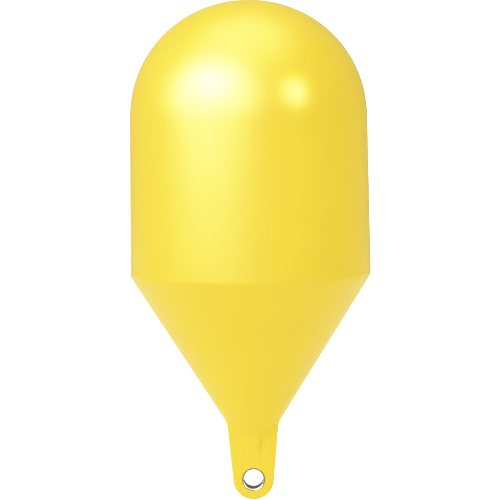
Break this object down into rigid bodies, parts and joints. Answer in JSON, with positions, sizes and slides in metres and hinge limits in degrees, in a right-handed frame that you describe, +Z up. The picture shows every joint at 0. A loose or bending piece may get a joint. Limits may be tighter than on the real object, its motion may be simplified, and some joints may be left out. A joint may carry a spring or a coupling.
{
  "type": "moored cylindrical navigation buoy with conical underside",
  "caption": "Moored special-mark buoy: domed cylindrical float on a conical underside, with a mooring lug and a sleeved eye.",
  "frame": {"origin": "on the body's vertical axis at the design waterline, 0.1 m above the knuckle between wall and cone", "axes": "+Z up along the body's axis of revolution; the eye's bore runs along Y; -Y is the front, and the filling plug is on the +Y side"},
  "size_m": [0.3998, 0.3998, 0.8314],
  "materials": {
    "yellow_polyethylene": "satin, rotomoulded",
    "stainless_steel": "brushed",
    "plug_polyethylene": "satin",
    "black_rubber": "matte"
  },
  "bodies": {
    "root": {"float_hull": "yellow_polyethylene", "mooring_lug": "yellow_polyethylene", "eye_sleeve": "stainless_steel", "fill_plug": "plug_polyethylene", "plug_gasket": "black_rubber"}
  },
  "joints": []
}
